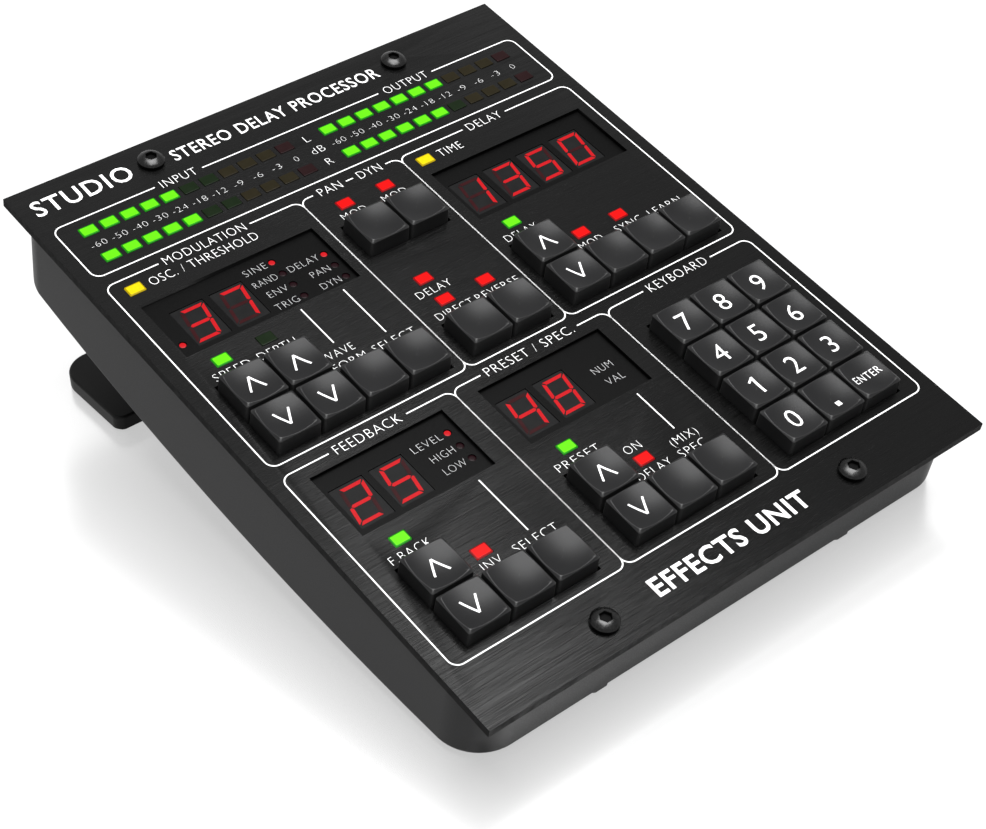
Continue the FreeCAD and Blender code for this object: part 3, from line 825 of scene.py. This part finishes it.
def window_printing():
    """The words beside the small lamps, printed on the black masks."""
    bm = bmesh.new()
    w = MASK_FACE + INK / 4
    for text, right, v, width in WINDOW_LABELS:
        print_text(bm, text, right, v, w, width, SMALL_CAP, THIN, "RIGHT")
    make_piece("window_printing", bm, [GREY_INK], "chassis")


def legend_on_key(bm, flat, middle):
    """Cuts a flat legend finely and lays it on a key's dished top."""
    for _ in range(2):
        long_edges = [edge for edge in flat.edges if edge.calc_length() > LEGEND_CUT]
        bmesh.ops.subdivide_edges(flat, edges=long_edges, cuts=1)
        bmesh.ops.triangulate(flat, faces=flat.faces)
    for vert in flat.verts:
        vert.co.z += dish_height(vert.co.xy.length) + INK / 4
        vert.co += Vector((*middle, 0))
    mesh = bpy.data.meshes.new("legend")
    for face in flat.faces:
        face.material_index = 1
    flat.to_mesh(mesh)
    flat.free()
    bm.from_mesh(mesh)
    bpy.data.meshes.remove(mesh)


def key_legend(name):
    """A key's flat legend about its own middle, or None on a blank key."""
    flat = bmesh.new()
    figure = name.removeprefix("key_")
    if figure == "1":
        for ends, stroke in (ONE_STEM, ONE_FLAG):
            ribbon(flat, ends, stroke, 0.0)
    elif figure.isdigit():
        print_text(flat, figure, 0.0, 0.0, 0.0, None, FIGURE_CAP, FIGURE_THIN)
    elif name in KEY_WORDS:
        text, width, cap, v = KEY_WORDS[name]
        if text == ".":
            ribbon(flat, [(-width / 2, v), (width / 2, v)], cap, 0.0)
        else:
            print_text(flat, text, 0.0, v, 0.0, width, cap, WORD_THIN)
    elif name.endswith(("_up", "_down")):
        side = 1 if name.endswith("_up") else -1
        half, tall = ARROW
        for hand in (-1, 1):
            ribbon(flat, [(hand * half, -side * tall), (0.0, side * tall)], ARROW_STROKE, 0.0)
    else:
        flat.free()
        return None
    return flat


def keys():
    """Every key: a dished cap with its printed legend."""
    for name in frame["nodes"]:
        if not name.startswith("key_") or name == "key_switches":
            continue
        points = solids(name)[0]
        middle = (
            (min(p.x for p in points) + max(p.x for p in points)) / 2,
            (min(p.y for p in points) + max(p.y for p in points)) / 2,
        )
        bm = bmesh.new()
        keycap(bm, middle)
        flat = key_legend(name)
        if flat:
            legend_on_key(bm, flat, middle)
        make_piece(name + "_cap", bm, [KEYCAP, WHITE_INK], name, (name,), 50)


def lens(bm, box, lit):
    """A rectangular lamp; lit, its glow is deeper in colour round its edge."""
    u0, u1, v0, v1, top = box
    rings = []
    for inset, drop in LENS_RINGS:
        sides = (u0 + inset, u1 - inset, v0 + inset, v1 - inset)
        rings.append(rounded_rectangle(*sides, LENS_CORNER, top - drop, 3))
    loft(bm, rings, 1 if lit else 2)
    if lit:
        bm.faces.ensure_lookup_table()
        bm.faces[-1].material_index = 0


def lamp_is_lit(node, place):
    """Whether the lamp at (u, v) is on."""
    if node.startswith("status"):
        return not near(place, [DARK_STATUS])
    right = place[0] > 0
    upper = place[1] > SCALE_V
    step = round((place[0] - METER_START[right]) / METER_PITCH)
    return step < METER_LEVELS[(right, upper)]


def lamps(node):
    """A node's rectangular lamps, lit or dark."""
    colour = node.rsplit("_", 1)[1]
    bm = bmesh.new()
    for points in solids(node):
        box = top_box(points)
        place = ((box[0] + box[1]) / 2, (box[2] + box[3]) / 2)
        lens(bm, box, lamp_is_lit(node, place))
    materials = [LIT[colour], RIM[colour], DARK[colour]]
    make_piece(node + "_lenses", bm, materials, "chassis", (node,))


def segment_outlines():
    """The outline of each segment of a digit, upright, about the digit's middle."""
    half = DIGIT_STROKE / 2
    x = DIGIT_BREADTH / 2 - half
    y = DIGIT_HEIGHT / 2 - half
    gap = DIGIT_GAP
    end = x + half - gap * 2
    inner = x - half - gap
    top = [(-end, y + half), (end, y + half), (inner, y - half), (-inner, y - half)]
    right = [
        (x + half, y + half - gap * 2), (x + half, half * 0.4 + gap), (x, gap),
        (x - half, half + gap), (x - half, y - half - gap),
    ]
    bar = [(gap - x, 0), (-inner, half), (inner, half), (x - gap, 0), (inner, -half), (-inner, -half)]
    return {
        "a": top,
        "b": right,
        "c": [(u, -v) for u, v in right],
        "d": [(u, -v) for u, v in top],
        "e": [(-u, -v) for u, v in right],
        "f": [(-u, v) for u, v in right],
        "g": bar,
    }


def slab(bm, outline, low, high, material):
    """A closed flat slab with the given (u, v) outline."""
    area = sum(a[0] * b[1] - b[0] * a[1] for a, b in zip(outline, outline[1:] + outline[:1]))
    if area < 0:
        outline = outline[::-1]
    rings = [[Vector((u, v, w)) for u, v in outline] for w in (low, high)]
    loft(bm, rings, material)


def digit(bm, middle, face, figure):
    """The seven segments of one digit on its module's face."""
    for name, outline in segment_outlines().items():
        lit = name in FIGURES[figure]
        slanted = [(middle[0] + u + v * DIGIT_SLANT, middle[1] + v) for u, v in outline]
        slab(bm, slanted, face - SEGMENT_SUNK, face + SEGMENT_PROUD[lit], 1 if lit else 2)


def dot(bm, middle, radius, top, lit):
    """A small round lamp with a domed top; lit, it glows inside its rim."""
    turns = [2 * math.pi * k / DOT_POINTS for k in range(DOT_POINTS)]
    rings = []
    for share, drop in DOT_RINGS:
        rings.append([polar(middle, radius * share, turn, top - drop) for turn in turns])
    loft(bm, rings, 3)
    if lit:
        bm.faces.ensure_lookup_table()
        for face in bm.faces[-DOT_POINTS - 2:]:  # the dome, and both ends
            face.material_index = 1


def displays(window):
    """A window's digit modules and dot lamps, showing their reading."""
    node = "display_" + window
    bm = bmesh.new()
    boxes = sorted(top_box(points) for points in solids(node))
    figures = iter(READINGS[window])
    for u0, u1, v0, v1, top in boxes:
        middle = ((u0 + u1) / 2, (v0 + v1) / 2)
        if u1 - u0 > MODULE_LEAST:
            rings = []
            for inset, drop in MODULE_RINGS:
                sides = (u0 + inset, u1 - inset, v0 + inset, v1 - inset)
                rings.append(rounded_rectangle(*sides, MODULE_CORNER, top - drop, 2))
            loft(bm, rings)
            digit(bm, middle, top, next(figures))
        else:
            dot(bm, middle, (u1 - u0) / 2, top, near(middle, LIT_DOTS))
    materials = [DIGIT_FACE, LIT["segment"], DARK["segment"], DARK["dot"]]
    make_piece(node + "_digits", bm, materials, "chassis", (node,))


def screw_head(bm, middle):
    """A button-head screw with a straight wall and a hexagon socket."""
    head, wall = SCREW_HEAD_RADIUS, SCREW_WALL
    crown = SCREW_HEAD_HEIGHT - wall
    dome = (head**2 + crown**2) / (2 * crown)
    angles = [2 * math.pi * k / SCREW_POINTS for k in range(SCREW_POINTS)]

    def circle(radius, w):
        """A ring of points about the screw's axis."""
        return [polar(middle, radius, angle, w) for angle in angles]

    def hexagon(size, w):
        """A ring of points round a hexagon, as many as round a circle."""
        reach = [size / 2 / math.cos(angle % (math.pi / 3) - math.pi / 6) for angle in angles]
        return [polar(middle, radius, angle, w) for radius, angle in zip(reach, angles)]

    def crown_height(radius):
        """How high the crown is at a distance from the screw's axis."""
        return SCREW_HEAD_HEIGHT - dome + math.sqrt(dome**2 - radius**2)

    rings = [circle(head - SCREW_FOOT, 0.0), circle(head, SCREW_FOOT)]
    rings += [circle(head, wall - SCREW_EASE), circle(head - SCREW_EASE, wall)]
    for step in range(1, CROWN_STEPS + 1):
        share = step / CROWN_STEPS
        radius = (head - CROWN_SPAN[0]) * (1 - share) + (SOCKET_LIP + CROWN_SPAN[1]) * share
        rings.append(circle(radius, crown_height(radius)))
    lip = crown_height(SOCKET_LIP)
    rings.append(hexagon(SOCKET_ACROSS + 2 * SOCKET_EASE, lip))
    rings.append(hexagon(SOCKET_ACROSS, lip - SOCKET_EASE))
    rings.append(hexagon(SOCKET_ACROSS, SCREW_HEAD_HEIGHT - SOCKET_DEPTH))
    loft(bm, rings)
    # The socket's walls and floor take the dull black as painted shade in the recess.
    bm.faces.ensure_lookup_table()
    for face in bm.faces[-SCREW_POINTS - 2:]:  # the socket's walls, and both ends
        face.material_index = 1


def panel_screws():
    """The four screws that hold the panel."""
    bm = bmesh.new()
    for points in solids("panel_screws"):
        us, vs = [p.x for p in points], [p.y for p in points]
        screw_head(bm, ((min(us) + max(us)) / 2, (min(vs) + max(vs)) / 2))
    materials = [SCREW, DYED_EDGE_AND_SOCKET_SHADE]
    make_piece("panel_screw_heads", bm, materials, "chassis", ("panel_screws",), 35)


def paint(node, material):
    """Gives a CAD node that stays its material."""
    mesh = frame["nodes"][node].data
    mesh.materials.clear()
    mesh.materials.append(material)


# Stage ----------------------------------------------------------------------------------


def area_light(name, place, target, side, power):
    """A soft square light aimed at a point."""
    data = bpy.data.lights.new(name, "AREA")
    data.size = side
    data.energy = power
    light = bpy.data.objects.new(name, data)
    light.location = place
    light.rotation_mode = "QUATERNION"
    light.rotation_quaternion = (Vector(target) - Vector(place)).to_track_quat("-Z", "Y")
    bpy.context.scene.collection.objects.link(light)


def camera():
    """The camera, level, looking down from the front left."""
    data = bpy.data.cameras.new("camera")
    data.sensor_width = 36
    data.lens = CAMERA_LENS
    data.clip_start = 0.01
    eye = bpy.data.objects.new("camera", data)
    eye.location = CAMERA_PLACE
    eye.rotation_mode = "QUATERNION"
    eye.rotation_quaternion = Vector(CAMERA_AIM).to_track_quat("-Z", "Y")
    bpy.context.scene.collection.objects.link(eye)
    bpy.context.scene.camera = eye


def floor():
    """A wide pale floor."""
    bm = bmesh.new()
    bmesh.ops.create_circle(bm, cap_ends=True, segments=96, radius=4.0)
    mesh = bpy.data.meshes.new("floor")
    bm.to_mesh(mesh)
    bm.free()
    mesh.materials.append(floor_finish())
    ground = bpy.data.objects.new("floor", mesh)
    bpy.context.scene.collection.objects.link(ground)


def world():
    """Even white light from all round."""
    surroundings = bpy.data.worlds.new("world")
    surroundings.use_nodes = True
    background = surroundings.node_tree.nodes["Background"]
    background.inputs["Color"].default_value = (1.0, 1.0, 1.0, 1)
    background.inputs["Strength"].default_value = 1.0
    bpy.context.scene.world = surroundings


def lights():
    """A large softbox overhead that reaches further to the front and right."""
    place = (*SOFTBOX_MIDDLE, SOFTBOX_HEIGHT)
    area_light("overhead", place, (*SOFTBOX_MIDDLE, 0), SOFTBOX_SIDE, SOFTBOX_WATTS)


# Making ---------------------------------------------------------------------------------

camera()
floor()
world()
lights()
bpy.context.scene.view_settings.view_transform = "Standard"

KEYCAP = keycap_plastic()
WHITE_INK = ink("white_ink", (0.42, 0.42, 0.42))
GREY_INK = ink("grey_ink", (0.24, 0.24, 0.243))
SCREW = black_screw()
# Dull black for the plate's dyed edges, and painted shade in the screw sockets.
DYED_EDGE_AND_SOCKET_SHADE = matt_black()
MASK_PLASTIC = moulded("mask_plastic", (0.0006, 0.0006, 0.0006), 0.35, 0.035)
DIGIT_FACE = dark_lens("digit_face", (0.0035, 0.0035, 0.0036))
LIT = {name: lamp("lit_" + name, face, 1.0) for name, (face, rim) in LAMP_COLOURS.items()}
RIM = {name: lamp("rim_" + name, rim, 1.0) for name, (face, rim) in LAMP_COLOURS.items()}
LIT["segment"] = lamp("lit_segment", (0.68, 0.008, 0.014), 1.0)
DARK = {name: dark_lens("dark_" + name, colour) for name, colour in DARK_COLOURS.items()}
DARK["segment"] = dark_lens("dark_segment", (0.009, 0.0012, 0.0016), 0.7)
MASK_FACE = max(top_box(points)[4] for points in solids("display_masks"))
PLATE_FINISH = [brushed_metal(), DYED_EDGE_AND_SOCKET_SHADE, MASK_PLASTIC]
TRAY_PLASTIC = moulded("tray_plastic", (0.003, 0.003, 0.0032), 0.42, 0.09)
STAND_PLASTIC = moulded("stand_plastic", (0.002, 0.002, 0.002), 0.45, 0.1)
SOCKET_STEEL = bright_metal("plated_steel", (0.7, 0.7, 0.71))
FOOT_RUBBER = rubber()

refined("front_panel", "panel_plate", PLATE_FINISH, 0.12, 20)
refined("housing_tray", "tray_shell", [TRAY_PLASTIC], 0.15)
refined("rear_stand", "stand_body", [STAND_PLASTIC], 0.0)
refined("display_masks", "window_masks", [MASK_PLASTIC], 0.06, 20)
refined("stand_pad", "stand_rubber", [FOOT_RUBBER], 0.1)
refined("front_feet", "front_rubbers", [FOOT_RUBBER], 0.1)
refined("usb_connector", "usb_socket", [SOCKET_STEEL], 0.05)
panel_screws()
for lamp_node in [name for name in frame["nodes"] if "_leds_" in name]:
    lamps(lamp_node)
for window_name in READINGS:
    displays(window_name)
panel_printing()
window_printing()
keys()
paint("main_board", board_laminate())
paint("board_chips", moulded("chip_plastic", (0.015, 0.015, 0.015), 0.5))
paint("key_switches", moulded("switch_plastic", (0.02, 0.02, 0.02), 0.45))
paint("board_screws", bright_metal("zinc_board", (0.6, 0.6, 0.61)))
paint("stand_screws", bright_metal("zinc_stand", (0.6, 0.6, 0.61)))

bpy.context.view_layer.update()
